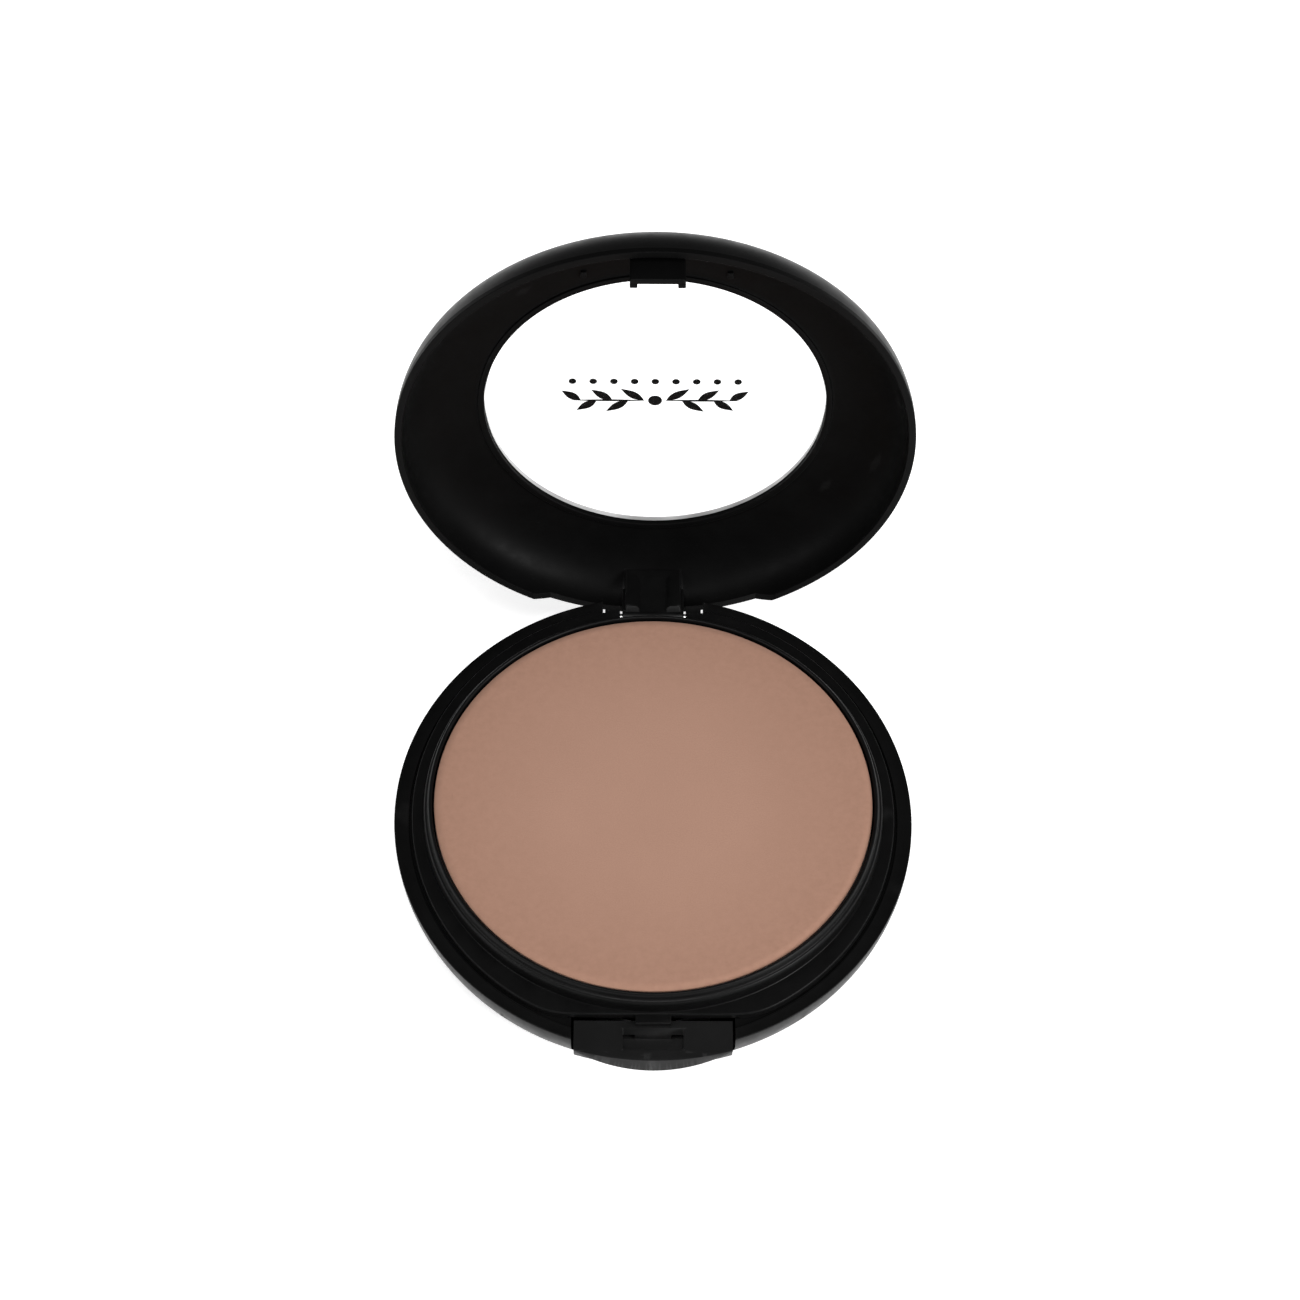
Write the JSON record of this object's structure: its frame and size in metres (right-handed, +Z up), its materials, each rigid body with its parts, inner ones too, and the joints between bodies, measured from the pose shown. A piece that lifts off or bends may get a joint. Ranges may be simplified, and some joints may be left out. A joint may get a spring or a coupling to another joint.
{
  "type": "powder compact",
  "caption": "Round hinged powder compact: low case, raised tray of pressed powder over a puff well, push-button latch, domed lid with a clear window.",
  "frame": {"origin": "centre of the case's flat bottom", "axes": "+Z up through the case, +Y towards the hinge, -Y towards the latch, +X to the right seen from the latch"},
  "size_m": [0.07, 0.0877, 0.0787],
  "materials": {
    "base_shell": "satin black moulding",
    "tray": "satin black moulding",
    "pan": "pressed sheet",
    "pan_adhesive": "double-sided pad",
    "powder": "pressed powder, matt",
    "mirror_adhesive": "double-sided pad",
    "mirror": "silvered glass",
    "puff": "fine foam",
    "hinge_pin": "drawn wire",
    "button_spring": "spring strip",
    "button": "satin black moulding",
    "lid_shell": "satin black moulding",
    "lid_window": "clear styrene disc"
  },
  "bodies": {
    "base": {"base_shell": "base_shell", "tray": "tray", "pan": "pan", "pan_adhesive": "pan_adhesive", "powder": "powder", "mirror_adhesive": "mirror_adhesive", "mirror": "mirror", "puff": "puff", "hinge_pin": "hinge_pin", "button_spring": "button_spring"},
    "lid": {"lid_shell": "lid_shell", "lid_window": "lid_window"},
    "button": {"button": "button"}
  },
  "joints": [
    {"name": "lid_hinge", "type": "hinge", "parent": "base", "child": "lid", "pos_m": [0, 0.03376, 0.00915], "axis": [-1, 0, 0], "range_deg": [-95.3, 0]},
    {"name": "button_slide", "type": "slide", "parent": "base", "child": "button", "axis": [0, 1, 0], "range_m": [0, 0.001], "stiffness_N_per_m": 800, "springref_m": -0.0005, "deforming": ["button_spring"]}
  ]
}
